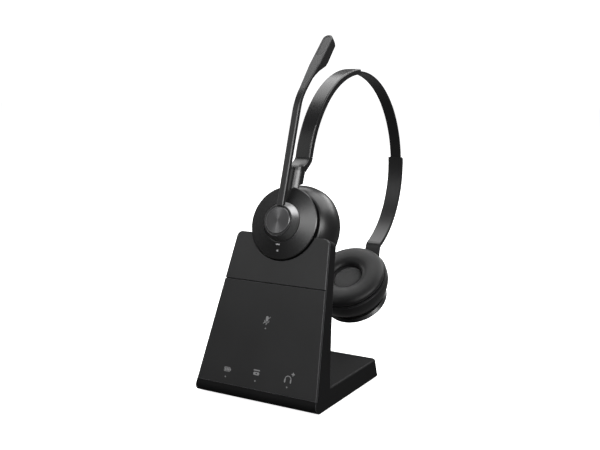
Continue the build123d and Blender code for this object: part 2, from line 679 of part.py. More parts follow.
def puck_inside(side, frame):
    """Baffle, loudspeaker, cushion ring, speaker cloth and ear cushion."""
    with BuildPart() as baffle:
        with BuildSketch(frame.offset(PUCK_BACK)):
            Circle(BACK_RADIUS - PUCK_WALL - 0.3)
            with PolarLocations(7.5, 10):
                Circle(1.2, mode=Mode.SUBTRACT)
            with PolarLocations(3.6, 5):
                Circle(1.0, mode=Mode.SUBTRACT)
        extrude(amount=1.4)
    save(baffle, f"{side}_baffle")
    driver_face = PUCK_BACK + 1.5
    driver = turned(
        frame,
        (0, driver_face),
        (17.0, driver_face),
        (17.0, driver_face + 1.3),
        (9.0, driver_face + 2.7),
        (8.0, driver_face + 2.7),
        (8.0, driver_face + 4.9),
        (0, driver_face + 4.9),
    )
    save(driver, f"{side}_driver")
    ring = turned(
        frame,
        (22.0, PUCK_BACK - 0.05),
        (BACK_RADIUS, PUCK_BACK - 0.05),
        (BACK_RADIUS + 0.2, PUCK_BACK - 0.35),
        (BACK_RADIUS, PUCK_BACK - 0.65),
        (BACK_RADIUS - 0.8, PUCK_BACK - 0.65),
        (BACK_RADIUS - 0.8, PUCK_BACK - 1.1),
        (22.0, PUCK_BACK - 1.1),
    )
    save(ring, f"{side}_cushion_ring")
    cloth = turned(
        frame,
        (0, PUCK_BACK - 0.05),
        (CUSHION_HOLE - 0.4, PUCK_BACK - 0.05),
        (CUSHION_HOLE - 0.4, CUSHION_FRONT + 0.6),
        (CUSHION_HOLE - 1.6, CUSHION_FRONT),
        (0, CUSHION_FRONT - 0.6),
    )
    save(cloth, f"{side}_ear_cloth")
    middle = (CUSHION_HOLE + BACK_RADIUS - 0.3) / 2
    half = middle - CUSHION_HOLE
    with BuildPart() as cushion:
        with BuildSketch(half_section(frame)) as cushion_face:
            with Locations((middle, (CUSHION_FRONT + CUSHION_BACK) / 2)):
                Rectangle(2 * half, CUSHION_FRONT - CUSHION_BACK)
            fillet(cushion_face.vertices().group_by(Axis.Y)[0], 4.8)
            fillet(cushion_face.vertices().group_by(Axis.Y)[-1], 1.0)
        revolve(axis=Axis(frame.origin, frame.z_dir))
    save(cushion, f"{side}_cushion")


disc_cover("left_disc_cover", LEFT, lights=True)
disc_cover("right_disc_cover", RIGHT, lights=False)
disc_back("left_disc_back", LEFT)
disc_back("right_disc_back", RIGHT)
pivot_cross("left_pivot_cross", LEFT)
pivot_cross("right_pivot_cross", RIGHT)
puck_shell("left_puck_shell", LEFT, pads=True)
puck_shell("right_puck_shell", RIGHT, pads=False)
puck_inside("left", LEFT)
puck_inside("right", RIGHT)

with BuildPart() as charge_pads:
    with BuildSketch(across(LEFT, PAD_UP - 0.05, PIN_AXIAL)):
        with Locations((PIN_X, 0), (-PIN_X, 0)):
            Circle(PAD_RADIUS - 0.1)
    extrude(amount=0.45)
save(charge_pads, "charge_pads")

# ================================================================ left cup: boom hub, call button, lights
RING_INNER = 9.75
RING_OUTER = 11.0
RING_TOP = 8.3
RUN_FIT = 0.06
BOOM_LEVEL = 9.2              # outwards, the boom's front face at the hub
BOOM_DEPTH = 3.4
THIN_DEPTH = 2.2              # above the bend
CAP_TOP = 8.5
CAP_BOTTOM = 7.4
BUTTON_TRAVEL = 0.6

boom_post = turned(
    LEFT,
    (POST_BORE, BACK_TOP + 0.05),
    (POST_RADIUS + 1.0, BACK_TOP + 0.05),
    (POST_RADIUS + 1.0, 0.7),
    (POST_RADIUS, 0.7),
    (POST_RADIUS, 6.5),
    (POST_BORE, 6.5),
)
save(boom_post, "boom_post")

boom_washer = turned(
    LEFT,
    (POST_RADIUS + 0.3, 2.25),
    (HUB_RADIUS - 0.8, 2.25),
    (HUB_RADIUS - 0.8, 2.4),
    (POST_RADIUS + 0.3, 2.4),
)
save(boom_washer, "boom_washer")

NOTCH_HALF = BOOM_WIDTH / 2 + 0.1
with BuildPart() as boom_cone:
    with BuildSketch(half_section(LEFT)):
        with BuildLine():
            Polyline(
                (POST_RADIUS + RUN_FIT, 2.5),
                (HUB_RADIUS, 2.5),
                (HUB_RADIUS, 2.9),
                (RING_OUTER + 0.15, 7.9),
                (RING_OUTER + 0.05, 7.9),
                (RING_OUTER + 0.05, 5.5),
                (POST_RADIUS + RUN_FIT, 5.5),
                close=True,
            )
        make_face()
    revolve(axis=Axis(LEFT.origin, LEFT.z_dir))
    with BuildSketch(LEFT.offset(5.4)):
        with Locations((0, HUB_RADIUS)):
            Rectangle(2 * NOTCH_HALF, 2 * HUB_RADIUS - 12.0)
    extrude(amount=6.0, mode=Mode.SUBTRACT)
save(boom_cone, "boom_cone")


def beyond(distance, depth):
    """(up, out) of a point this far past the boom's bend, this deep behind its front face."""
    point = LEFT.to_local_coords(BOOM_TOP.from_local_coords((0, distance, -depth)))
    return point.Y, point.Z


def below(up, depth):
    """(up, out) of a point on the canted lower boom, this deep behind its front face."""
    bend_up, bend_out = BOOM_BEND
    slope = tan(radians(BOOM_CANT))
    return up, bend_out - (bend_up - up) * slope - depth


TAPER_START = 10.0
TAPER_END = 34.0
PANEL_LOW = 43.0
PANEL_HIGH = 64.0
PANEL_WIDTH = 5.0
with BuildPart() as boom_arm:
    # Side profile: straight from the hub, one bend, then thinner up to the tip.
    with BuildSketch(side_section(LEFT)) as boom_side:
        with BuildLine():
            Polyline(
                below(RING_INNER + 0.6, 0),
                BOOM_BEND,
                beyond(MIC_END, 0),
                beyond(MIC_END, THIN_DEPTH),
                beyond(20.0, THIN_DEPTH),
                beyond(1.0, BOOM_DEPTH),
                below(70.0, BOOM_DEPTH),
                below(RING_INNER + 0.6, BOOM_DEPTH),
                close=True,
            )
        make_face()
        bend_front = boom_side.vertices().sort_by_distance(BOOM_BEND)[0]
        fillet(bend_front, 40.0)
        bend_back = boom_side.vertices().sort_by_distance(beyond(1.0, BOOM_DEPTH))[0]
        fillet(bend_back, 30.0)
    extrude(amount=MIC_WIDTH, both=True)
    # Front outline: a slim bar that widens to the microphone and ends round.
    with BuildSketch(BOOM_TOP.offset(-60)) as boom_front:
        with BuildLine():
            half = BOOM_WIDTH / 2
            wide = MIC_WIDTH / 2
            Polyline((-half, -110), (half, -110), (half, TAPER_START), (wide, TAPER_END))
            Line((wide, TAPER_END), (wide, MIC_END - wide))
            RadiusArc((wide, MIC_END - wide), (-wide, MIC_END - wide), -wide)
            Polyline((-wide, MIC_END - wide), (-wide, TAPER_END), (-half, TAPER_START), (-half, -110))
        make_face()
    extrude(amount=120, mode=Mode.INTERSECT)
    fronts = boom_arm.faces().filter_by(lambda f: f.normal_at(f.center()).dot(OUT) > 0.75)
    chamfer(fronts.edges().filter_by(lambda e: abs(e.center().X) > 1), BOOM_CHAMFER)
    with BuildSketch(LEFT.offset(5.6)):
        Circle(RING_OUTER)
        Circle(POST_RADIUS + RUN_FIT, mode=Mode.SUBTRACT)
    extrude(amount=1.0)
    with BuildSketch(LEFT.offset(5.6)):
        Circle(RING_OUTER)
        Circle(RING_INNER, mode=Mode.SUBTRACT)
    extrude(amount=RING_TOP - 5.6)
    # Shallow recess for the panel on the microphone's front face.
    with BuildSketch(BOOM_TOP.offset(-0.5)):
        with Locations((0, (PANEL_LOW + PANEL_HIGH) / 2)):
            SlotOverall(PANEL_HIGH - PANEL_LOW, PANEL_WIDTH, rotation=90)
    extrude(amount=2.0, mode=Mode.SUBTRACT)
save(boom_arm, "boom_arm")

with BuildPart() as mic_panel:
    with BuildSketch(BOOM_TOP.offset(-0.5)):
        with Locations((0, (PANEL_LOW + PANEL_HIGH) / 2)):
            SlotOverall(PANEL_HIGH - PANEL_LOW - 0.3, PANEL_WIDTH - 0.3, rotation=90)
    extrude(amount=0.3)
save(mic_panel, "mic_panel")

with BuildPart() as mic_housing:
    with BuildSketch(side_section(LEFT)):
        with BuildLine():
            Polyline(
                beyond(21.0, THIN_DEPTH),
                beyond(26.0, 3.0),
                beyond(32.0, 4.6),
                beyond(41.0, 8.6),
                beyond(45.0, 9.0),
                beyond(62.0, 8.0),
                beyond(65.5, 3.4),
                beyond(65.5, THIN_DEPTH),
                close=True,
            )
        make_face()
    extrude(amount=MIC_WIDTH, both=True)
    with BuildSketch(BOOM_TOP.offset(-30)):
        with BuildLine():
            slim = BOOM_WIDTH / 2 - 0.1
            body = MIC_WIDTH / 2 - 0.15
            Polyline((-slim, 0), (slim, 0), (slim, TAPER_START), (body, TAPER_END), (body, MIC_END - 4.0))
            RadiusArc((body, MIC_END - 4.0), (-body, MIC_END - 4.0), -body)
            Polyline((-body, MIC_END - 4.0), (-body, TAPER_END), (-slim, TAPER_START), (-slim, 0))
        make_face()
    extrude(amount=40, mode=Mode.INTERSECT)
    with BuildSketch(BOOM_TOP.offset(-THIN_DEPTH)):
        with Locations((0, 54.0)):
            Circle(2.4)
    extrude(amount=-4.0, mode=Mode.SUBTRACT)
    with BuildSketch(BOOM_TOP.offset(-THIN_DEPTH - 4.0)):
        with Locations((0, 54.0)):
            Circle(0.7)
    extrude(amount=-8.0, mode=Mode.SUBTRACT)
save(mic_housing, "mic_housing")

with BuildPart() as mic_element:
    with BuildSketch(BOOM_TOP.offset(-THIN_DEPTH - 3.8)):
        with Locations((0, 54.0)):
            Circle(2.3)
    extrude(amount=2.6)
save(mic_element, "mic_element")

call_button = turned(
    LEFT,
    (0, CAP_TOP - 0.1),
    (RING_INNER - 0.75, CAP_TOP - 0.1),
    (RING_INNER - 0.75, CAP_BOTTOM),
    (POST_BORE - RUN_FIT, CAP_BOTTOM),
    (POST_BORE - RUN_FIT, 4.4),
    (POST_BORE - 1.4, 4.4),
    (POST_BORE - 1.4, CAP_BOTTOM - 0.2),
    (1.2, CAP_BOTTOM - 0.2),
    (1.2, 3.8),
    (0, 3.8),
)
save(call_button, "call_button")

button_trim = turned(
    LEFT,
    (RING_INNER - 0.7, CAP_BOTTOM + 0.2),
    (RING_INNER - 0.2, CAP_BOTTOM + 0.2),
    (RING_INNER - 0.2, CAP_TOP - 0.1),
    (RING_INNER - 0.4, CAP_TOP + 0.1),
    (RING_INNER - 0.7, CAP_TOP + 0.1),
)
save(button_trim, "button_trim")

call_switch = turned(LEFT, (0, -0.6), (3.0, -0.6), (3.0, 1.8), (2.0, 1.8), (1.5, 3.1), (0, 3.1))
save(call_switch, "call_switch")

switch_board = turned(
    LEFT,
    (0, BACK_TOP + 0.05),
    (POST_BORE - 0.2, BACK_TOP + 0.05),
    (POST_BORE - 0.2, -0.65),
    (0, -0.65),
)
save(switch_board, "switch_board")

right_cap = turned(
    RIGHT,
    (0, 1.0),
    (POST_RADIUS, 1.0),
    (POST_RADIUS, 2.3),
    (HUB_RADIUS, 2.3),
    (HUB_RADIUS, 2.9),
    (HUB_RADIUS - 1.0, 3.5),
    (0, 3.9),
)
save(right_cap, "right_cap")

with BuildPart() as status_lens:
    with BuildSketch(LEFT.offset(-0.5)):
        with Locations((0, LENS_UP)):
            Circle(0.8)
    extrude(amount=1.8)
    with BuildSketch(LEFT.offset(-0.5)):
        with Locations((0, BAR_UP)):
            SlotOverall(3.4, 1.0)
    extrude(amount=2.75)
save(status_lens, "status_lens")

with BuildPart() as left_disc_board:
    with BuildSketch(LEFT.offset(BACK_TOP + 0.05)):
        Circle(20.4)
        Circle(POST_RADIUS + 1.3, mode=Mode.SUBTRACT)
    extrude(amount=0.7)
save(left_disc_board, "left_disc_board")

with BuildPart() as left_puck_board:
    with BuildSketch(LEFT.offset(-13.6)):
        Circle(BACK_RADIUS - PUCK_WALL - 3.5)
        Circle(9.5, mode=Mode.SUBTRACT)
    extrude(amount=0.7)
save(left_puck_board, "left_puck_board")

# Curved cell round the right loudspeaker.
with BuildPart() as right_battery:
    with BuildSketch(RIGHT.offset(-13.0)):
        Circle(CUP_RADIUS - PUCK_WALL - 0.8)
        Circle(DISH_RADIUS + 2.2, mode=Mode.SUBTRACT)
        with Locations((0, -CUP_RADIUS)):
            Rectangle(2 * CUP_RADIUS, 2 * CUP_RADIUS + 6.0, mode=Mode.SUBTRACT)
    extrude(amount=3.7)
save(right_battery, "right_battery")

# ================================================================ headband
SHELL_LOW = -1.0
CHANNEL_HALF = STRIP_THICKNESS / 2 + SLIDE_GAP
LIP_UP = 40.5                 # front lip of the ramp where a sleeve meets the stem
LIP_OUT = STEM_MIDDLE + STEM_RISE
RAMP_MIDDLE = (45.4, -5.9)    # (up, out) of a point on the ramp
HEEL_MIDDLE = (43.4, -10.1)   # and of one on its back


def sleeve_foot(frame, centre, radius, end, sign):
    """(up, out) outline of the bend that joins a sleeve's end to the stem's ledge."""
    heading = direction(end + 90 * sign)
    local = [
        frame.to_local_coords(centre + direction(end) * (radius + depth))
        for depth in (SLEEVE_OUTER, SLEEVE_INNER)
    ]
    outer, inner = [(point.Y, point.Z) for point in local]
    run = Vector(heading.dot(frame.y_dir), heading.dot(frame.z_dir), 0)
    return outer, inner, run


def sleeve(name, frame, centre, radius, span, channel, sign):
    """Outer half of a headband sleeve: channelled bar, bent foot and ramp."""
    low, high = span
    end, free = (high, low) if sign > 0 else (low, high)
    outer, inner, run = sleeve_foot(frame, centre, radius, end, sign)
    heel = STEM_END + 0.05
    bar = Plane(origin=centre, x_dir=(1, 0, 0), z_dir=direction(low + 90))
    cut = Plane(origin=centre, x_dir=(1, 0, 0), z_dir=direction(channel[0] + 90))
    pivot = Axis(centre, (1, 0, 0))
    with BuildPart() as foot:
        with BuildSketch(side_section(frame)):
            with BuildLine():
                Spline(
                    outer,
                    RAMP_MIDDLE,
                    (LIP_UP, LIP_OUT),
                    tangents=[run, (-0.5, 0.87)],
                    tangent_scalars=[0.6, 0.6],
                )
                Polyline((LIP_UP, LIP_OUT), (heel, LIP_OUT), (heel, STEM_BACK))
                Spline((heel, STEM_BACK), HEEL_MIDDLE, inner, tangents=[(0.6, -0.8), -run])
                Line(inner, outer)
            make_face()
        extrude(amount=SLEEVE_WIDTH / 2, both=True)
        ramp = frame.from_local_coords((0, *RAMP_MIDDLE))
        sides = foot.edges().filter_by(GeomType.BSPLINE).filter_by(lambda e: abs(e.center().X) > 1)
        fillet(sides.sort_by_distance(ramp)[:2], SLEEVE_EDGE)
        with BuildSketch(across(frame, STEM_START)):
            with Locations((0, STEM_MIDDLE + STEM_RISE)):
                Rectangle(3 * SLEEVE_WIDTH, 2 * STEM_RISE)
            with Locations((0, STEM_MIDDLE)):
                Ellipse(STEM_HALF, STEM_RISE, mode=Mode.SUBTRACT)
        extrude(amount=STEM_START - 60, mode=Mode.SUBTRACT)
    with BuildPart() as part:
        with BuildSketch(bar) as bar_face:
            with Locations((0, radius + (SHELL_LOW + SLEEVE_OUTER) / 2)):
                Rectangle(SLEEVE_WIDTH, SLEEVE_OUTER - SHELL_LOW)
            fillet(bar_face.vertices().group_by(Axis.Y)[-1], SLEEVE_EDGE)
        revolve(axis=pivot, revolution_arc=high - low)
        fillet(part.edges().filter_by(Axis(centre, direction(free))), SLEEVE_END)
        add(foot.part)
        with BuildSketch(cut):
            with Locations((0, radius)):
                Rectangle(STRIP_WIDTH + 0.6, 2 * CHANNEL_HALF)
        revolve(axis=pivot, revolution_arc=channel[1] - channel[0], mode=Mode.SUBTRACT)
    save(part, name)


LEFT_CHANNEL = (LEFT_SLEEVE[0] - 1, STRIP_ENDS[0] + 1)
RIGHT_CHANNEL = (STRIP_ENDS[1] - 14, RIGHT_SLEEVE[1] + 1)
sleeve("left_sleeve", LEFT, ARCH, ARCH_RADIUS, LEFT_SLEEVE, LEFT_CHANNEL, 1)
sleeve("right_sleeve", RIGHT, RIGHT_ARCH, RIGHT_RADIUS, RIGHT_SLEEVE, RIGHT_CHANNEL, -1)

LINER = (SLEEVE_INNER, SHELL_LOW - 0.05)
left_liner = arc_bar(ARCH, ARCH_RADIUS, LEFT_SLEEVE[0], LEFT_SLEEVE[1] - 0.3, SLEEVE_WIDTH, *LINER)
save(left_liner, "left_sleeve_liner")
right_liner = arc_bar(RIGHT_ARCH, RIGHT_RADIUS, RIGHT_SLEEVE[0] + 0.3, RIGHT_SLEEVE[1], SLEEVE_WIDTH, *LINER)
save(right_liner, "right_sleeve_liner")

with BuildPart() as headband_strip:
    for centre, radius, start, end in (
        (ARCH, ARCH_RADIUS, ARCH_MEET, STRIP_ENDS[0]),
        (RIGHT_ARCH, RIGHT_RADIUS, STRIP_ENDS[1], ARCH_MEET),
    ):
        with BuildSketch(Plane(origin=centre, x_dir=(1, 0, 0), z_dir=direction(start + 90))):
            with Locations((0, radius)):
                Rectangle(STRIP_WIDTH, STRIP_THICKNESS)
        revolve(axis=Axis(centre, (1, 0, 0)), revolution_arc=end - start)
save(headband_strip, "headband_strip")
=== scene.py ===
import bpy
import json
from math import cos, pi, radians, sin, tau
from mathutils import Matrix, Vector


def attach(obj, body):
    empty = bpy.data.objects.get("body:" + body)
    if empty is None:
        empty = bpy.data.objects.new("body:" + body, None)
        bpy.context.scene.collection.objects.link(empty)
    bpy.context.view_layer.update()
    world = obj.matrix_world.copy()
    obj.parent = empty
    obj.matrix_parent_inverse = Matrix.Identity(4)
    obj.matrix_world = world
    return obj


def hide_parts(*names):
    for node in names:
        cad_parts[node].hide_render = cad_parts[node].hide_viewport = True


# An on-ear headset with a boom microphone, standing in its desk charging stand.
# Metres, +Z up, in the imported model's frame. Lengths named *_mm or *_MM are millimetres.

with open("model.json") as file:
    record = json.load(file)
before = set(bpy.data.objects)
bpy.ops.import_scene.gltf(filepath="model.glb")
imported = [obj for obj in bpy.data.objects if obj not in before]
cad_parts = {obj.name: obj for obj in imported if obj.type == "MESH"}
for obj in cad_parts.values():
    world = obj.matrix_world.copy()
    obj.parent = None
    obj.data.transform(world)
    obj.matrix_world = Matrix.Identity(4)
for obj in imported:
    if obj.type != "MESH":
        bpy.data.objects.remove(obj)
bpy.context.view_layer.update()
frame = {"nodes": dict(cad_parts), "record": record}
MM = 0.001

NODES = frame["nodes"]
JOINTS = {joint["name"]: joint for joint in frame["record"]["behaviour"]["joints"]}
SLOT_OF = {part["node"]: part["material_slot"] for part in frame["record"]["subparts"]}


# ---------------------------------------------------------------- cup frames
def cup_frame(origin, right, up):
    """Matrix of a cup's frame: local x to the right, y up the cup, z outwards along its axis."""
    out = right.cross(up)
    matrix = Matrix((right, up, out)).transposed().to_4x4()
    matrix.translation = origin
    return matrix


PIVOT_DEPTH_MM = 5.0           # from the plane of a disc's rim back to its pivot
LEFT_UP = Vector(JOINTS["left_swivel"]["axis"])
RIGHT_UP = Vector(JOINTS["right_swivel"]["axis"])
LEFT = cup_frame(Vector(JOINTS["boom_turn"]["pos_m"]), Vector((1, 0, 0)), LEFT_UP)
RIGHT_PIVOT = cup_frame(Vector(JOINTS["right_swivel"]["pos_m"]), Vector((-1, 0, 0)), RIGHT_UP)
RIGHT = RIGHT_PIVOT @ Matrix.Translation((0, 0, PIVOT_DEPTH_MM * MM))


# ---------------------------------------------------------------- material nodes
def lighter(colour, factor):
    return tuple(min(1.0, channel * factor) for channel in colour)


class Nodes:
    """A material with its Principled shader and short ways to add and link nodes."""

    def __init__(self, name):
        self.material = bpy.data.materials.new(name)
        self.material.use_nodes = True
        self.tree = self.material.node_tree
        self.shader = self.tree.nodes["Principled BSDF"]

    def add(self, kind, **settings):
        node = self.tree.nodes.new("ShaderNode" + kind)
        for name, value in settings.items():
            setattr(node, name, value)
        return node

    def feed(self, socket, value):
        """Gives a socket a number, a colour or another node's output."""
        if isinstance(value, (int, float)):
            socket.default_value = value
        elif isinstance(value, tuple):
            socket.default_value = (*value, 1)
        else:
            self.tree.links.new(value, socket)

    def shade(self, name, value):
        """Gives one of the shader's own sockets a number or another node's output."""
        self.feed(self.shader.inputs[name], value)

    def place(self):
        return self.add("TexCoord").outputs["Object"]

    def noise(self, per_metre, detail=2.0):
        node = self.add("TexNoise")
        self.feed(node.inputs["Scale"], per_metre)
        self.feed(node.inputs["Detail"], detail)
        self.feed(node.inputs["Vector"], self.place())
        return node.outputs["Fac"]

    def pebbles(self, per_metre, feature="F1"):
        """Distance to the nearest of many scattered points."""
        node = self.add("TexVoronoi", feature=feature)
        self.feed(node.inputs["Scale"], per_metre)
        self.feed(node.inputs["Vector"], self.place())
        return node.outputs["Distance"]

    def spread(self, value, low, high, start=0.3, end=0.7):
        """Maps start..end, by default a texture's middle range, onto low..high."""
        node = self.add("MapRange")
        for name, number in zip(("From Min", "From Max", "To Min", "To Max"), (start, end, low, high)):
            self.feed(node.inputs[name], number)
        self.feed(node.inputs["Value"], value)
        return node.outputs["Result"]

    def math(self, operation, first, second):
        node = self.add("Math", operation=operation)
        self.feed(node.inputs[0], first)
        self.feed(node.inputs[1], second)
        return node.outputs[0]

    def vector_math(self, operation, first, second=None):
        node = self.add("VectorMath", operation=operation)
        for socket, value in zip(node.inputs, (first, second)):
            if isinstance(value, Vector):
                socket.default_value = value
            elif value is not None:
                self.feed(socket, value)
        return node.outputs

    def mix(self, factor, first, second):
        """Two colours, given as numbers or sockets, mixed by a socket."""
        node = self.add("Mix", data_type="RGBA")
        for name, value in (("Factor", factor), ("A", first), ("B", second)):
            self.feed(node.inputs[name], value)
        return node.outputs["Result"]

    def mottle(self, texture, colour, dark, light):
        """The colour, from dark to light times as bright over the texture's middle range."""
        share = self.spread(texture, low=0.0, high=1.0)
        return self.mix(share, lighter(colour, dark), lighter(colour, light))

    def bump(self, height, depth_mm, strength=1.0, under=None):
        """The surface's normal, tilted by a height texture, on top of another normal if one is given."""
        node = self.add("Bump")
        self.feed(node.inputs["Strength"], strength)
        self.feed(node.inputs["Distance"], depth_mm * MM)
        self.feed(node.inputs["Height"], height)
        if under is not None:
            self.feed(node.inputs["Normal"], under)
        return node.outputs["Normal"]

    def edges(self, width_mm=0.45, blunt=0.75, flat=0.99):
        """1 along outer and inner edges and 0 on flat faces, and the normal of the rounded edge.

        Blunt and flat are dot products of the rounded normal and the true one: it is 1 up to blunt
        and 0 from flat on.
        """
        bevel = self.add("Bevel", samples=6)
        self.feed(bevel.inputs["Radius"], width_mm * MM)
        rounded = bevel.outputs["Normal"]
        true_normal = self.add("NewGeometry").outputs["Normal"]
        dot = self.vector_math("DOT_PRODUCT", rounded, true_normal)["Value"]
        return self.spread(dot, low=1.0, high=0.0, start=blunt, end=flat), rounded


# ---------------------------------------------------------------- kinds of material
POLISHED_FROM = 2.0            # edges painted more times lighter than this, as wear and as a painted highlight, are also smoother
POLISH = 0.10


def plastic(name, colour, rough, gloss=0.5, grain_mm=0.35, depth_mm=0.012, edge_wear_and_highlight=1.7, soft_edges=False):
    """Moulded plastic: fine spark-eroded grain, faint handling marks, edges painted lighter.

    The edge factor is how many times lighter the edges are: small factors are wear, and the large ones of the
    darkest plastics are a painted highlight along the edges. Soft edges catch the light as if they were
    rounded.
    """
    m = Nodes(name)
    clouds = m.noise(per_metre=28.0, detail=3.0)
    smears = m.noise(per_metre=9.0, detail=5.0)
    patches = m.noise(per_metre=60.0)
    sharp, rounded = m.edges()
    edge = m.math("MULTIPLY", sharp, m.spread(patches, low=0.6, high=1.0))
    body = m.mottle(clouds, colour, dark=0.86, light=1.14)
    # Edges painted lighter by the edge factor: wear where it is small, a painted highlight where it is large.
    m.shade("Base Color", m.mix(edge, body, lighter(colour, edge_wear_and_highlight)))
    polish = m.math("MULTIPLY", edge, -POLISH if edge_wear_and_highlight > POLISHED_FROM else 0.0)
    m.shade("Roughness", m.math("ADD", m.spread(smears, low=rough - 0.05, high=rough + 0.05), polish))
    grain = m.noise(per_metre=1000.0 / grain_mm, detail=1.0)
    m.shade("Normal", m.bump(grain, depth_mm, under=rounded if soft_edges else None))
    m.shade("Specular IOR Level", gloss)
    return m.material


def spun(name, colour, rough, cup, anisotropy=0.75, metallic=1.0, gloss=0.5, marks=1.0, groove_mm=0.12):
    """Metal or satin paint turned on a lathe: fine rings round the cup's axis, fan-shaped highlights.

    Marks is how strongly the rings show.
    """
    m = Nodes(name)
    axis = cup.col[2].to_3d()
    arm = m.vector_math("SUBTRACT", m.place(), cup.translation)["Vector"]
    around = m.vector_math("CROSS_PRODUCT", axis, arm)["Vector"]
    radius = m.vector_math("LENGTH", around)["Value"]
    m.shade("Tangent", m.vector_math("NORMALIZE", around)["Vector"])
    rings = m.add("TexNoise", noise_dimensions="1D")
    m.feed(rings.inputs["Scale"], 1000.0 / groove_mm)
    m.feed(rings.inputs["Detail"], 2.0)
    m.feed(rings.inputs["W"], radius)
    line = rings.outputs["Fac"]
    m.shade("Base Color", m.mottle(line, colour, dark=1 - 0.2 * marks, light=1 + 0.2 * marks))
    m.shade("Roughness", m.spread(line, low=rough - 0.06 * marks, high=rough + 0.06 * marks))
    m.shade("Normal", m.bump(line, depth_mm=0.006, strength=0.6 * marks))
    m.shade("Metallic", metallic)
    m.shade("Specular IOR Level", gloss)
    m.shade("Anisotropic", anisotropy)
    return m.material


def metal(name, colour, rough, grain_mm=0.5):
    """Plain or plated metal with faint drawing marks."""
    m = Nodes(name)
    marks = m.noise(per_metre=1000.0 / grain_mm, detail=4.0)
    m.shade("Base Color", m.mottle(marks, colour, dark=0.85, light=1.1))
    m.shade("Roughness", m.spread(marks, low=rough - 0.06, high=rough + 0.08))
    m.shade("Normal", m.bump(marks, depth_mm=0.008, strength=0.5))
    m.shade("Metallic", 1.0)
    return m.material


def leatherette(name, colour):
    """Soft protein leather: pebbled grain, slight sheen, rubbed lighter in places."""
    m = Nodes(name)
    rub = m.noise(per_metre=60.0, detail=4.0)
    m.shade("Base Color", m.mottle(rub, colour, dark=0.85, light=1.2))
    m.shade("Roughness", m.spread(rub, low=0.38, high=0.50))
    creases = m.bump(m.noise(per_metre=220.0, detail=3.0), depth_mm=0.05, strength=0.35)
    grain = m.pebbles(per_metre=1100.0, feature="SMOOTH_F1")
    m.shade("Normal", m.bump(grain, depth_mm=0.045, strength=0.55, under=creases))
    m.shade("Specular IOR Level", 0.25)
    m.shade("Sheen Weight", 0.06)
    m.shade("Sheen Roughness", 0.5)
    return m.material


WAVE_BANDS = 3.2               # bands that a wave texture of scale 1 has in one unit


def knit(name, colour, pitch_mm=0.55):
    """Fine acoustic cloth: over-and-under threads along the piece's UV map, in millimetres."""
    m = Nodes(name)
    threads = []
    for direction in ("X", "Y"):
        wave = m.add("TexWave", wave_type="BANDS", bands_direction=direction)
        m.feed(wave.inputs["Scale"], 1.0 / pitch_mm / WAVE_BANDS)
        m.feed(wave.inputs["Distortion"], 0.6)
        m.feed(wave.inputs["Detail Scale"], 1.5)
        m.feed(wave.inputs["Vector"], m.add("TexCoord").outputs["UV"])
        threads.append(wave.outputs["Fac"])
    weave = m.math("MULTIPLY", *threads)
    m.shade("Base Color", m.mix(weave, lighter(colour, 0.45), lighter(colour, 1.5)))
    m.shade("Roughness", m.spread(weave, low=0.95, high=0.8, start=0.0, end=1.0))
    fuzz = m.bump(m.noise(per_metre=2500.0, detail=3.0), depth_mm=0.03, strength=0.5)
    m.shade("Normal", m.bump(weave, depth_mm=0.12, strength=0.9, under=fuzz))
    m.shade("Sheen Weight", 0.25)
    return m.material


def rubber(name, colour):
    """Soft rubber with a fine moulded grip and dust in it."""
    m = Nodes(name)
    dust = m.noise(per_metre=90.0, detail=5.0)
    m.shade("Base Color", m.mottle(dust, colour, dark=1.0, light=1.8))
    m.shade("Roughness", m.spread(dust, low=0.78, high=0.92))
    m.shade("Normal", m.bump(m.pebbles(per_metre=700.0), depth_mm=0.08, strength=0.6))
    return m.material


def board(name, mask, light_mask, copper):
    """Circuit board: solder mask over faint copper tracks."""
    m = Nodes(name)
    tracks = m.add("TexBrick")
    m.feed(tracks.inputs["Scale"], 260.0)
    m.feed(tracks.inputs["Mortar Size"], 0.03)
    m.feed(tracks.inputs["Color1"], mask)
    m.feed(tracks.inputs["Color2"], light_mask)
    m.feed(tracks.inputs["Mortar"], copper)
    m.feed(tracks.inputs["Vector"], m.place())
    m.shade("Base Color", tracks.outputs["Color"])
    m.shade("Roughness", m.spread(m.noise(per_metre=120.0), low=0.3, high=0.42))
    m.shade("Normal", m.bump(tracks.outputs["Fac"], depth_mm=0.03, strength=0.5))
    return m.material


def smoked(name, colour):
    """Smoked light guide: cloudy, glossy and clear-coated."""
    m = Nodes(name)
    grain = m.noise(per_metre=900.0)
    m.shade("Base Color", m.mix(grain, lighter(colour, 0.85), lighter(colour, 1.1)))
    m.shade("Roughness", m.spread(grain, low=0.18, high=0.3))
    m.shade("Coat Weight", 0.3)
    return m.material


